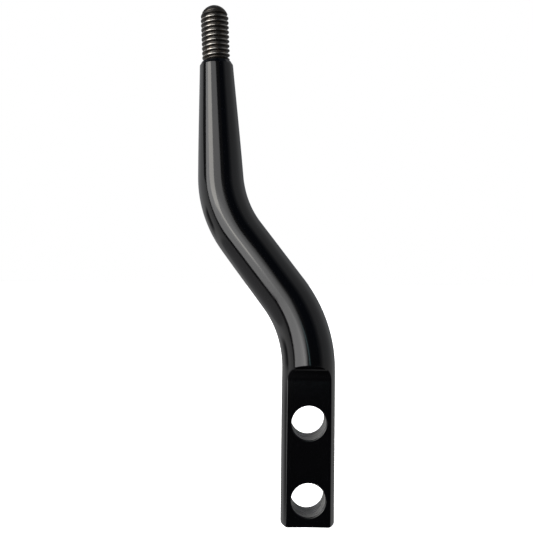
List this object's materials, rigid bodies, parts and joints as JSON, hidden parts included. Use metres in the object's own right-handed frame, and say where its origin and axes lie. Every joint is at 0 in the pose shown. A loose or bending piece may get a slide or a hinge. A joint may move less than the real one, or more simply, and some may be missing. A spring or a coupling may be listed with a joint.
{
  "type": "gear shift lever",
  "caption": "Black bent round-bar gear shift lever with a flat drilled tang at its foot and a threaded steel stud for a knob at its tip.",
  "frame": {"origin": "on the tang's back face, on its centre line, halfway between the two bolt holes", "axes": "+Z runs along the tang towards the stud, +Y points out of the tang's back face, and the bar bends in the XZ plane with its tip towards -X"},
  "size_m": [0.0477, 0.0181, 0.177],
  "materials": {
    "gloss_black_coat": "smooth high-gloss black coating, with fine machining marks showing through it in the bolt holes",
    "bare_steel": "turned and threaded bare steel, slightly warm, dark in the thread's grooves"
  },
  "bodies": {
    "root": {"lever_bar": "gloss_black_coat", "knob_stud": "bare_steel"}
  },
  "joints": []
}
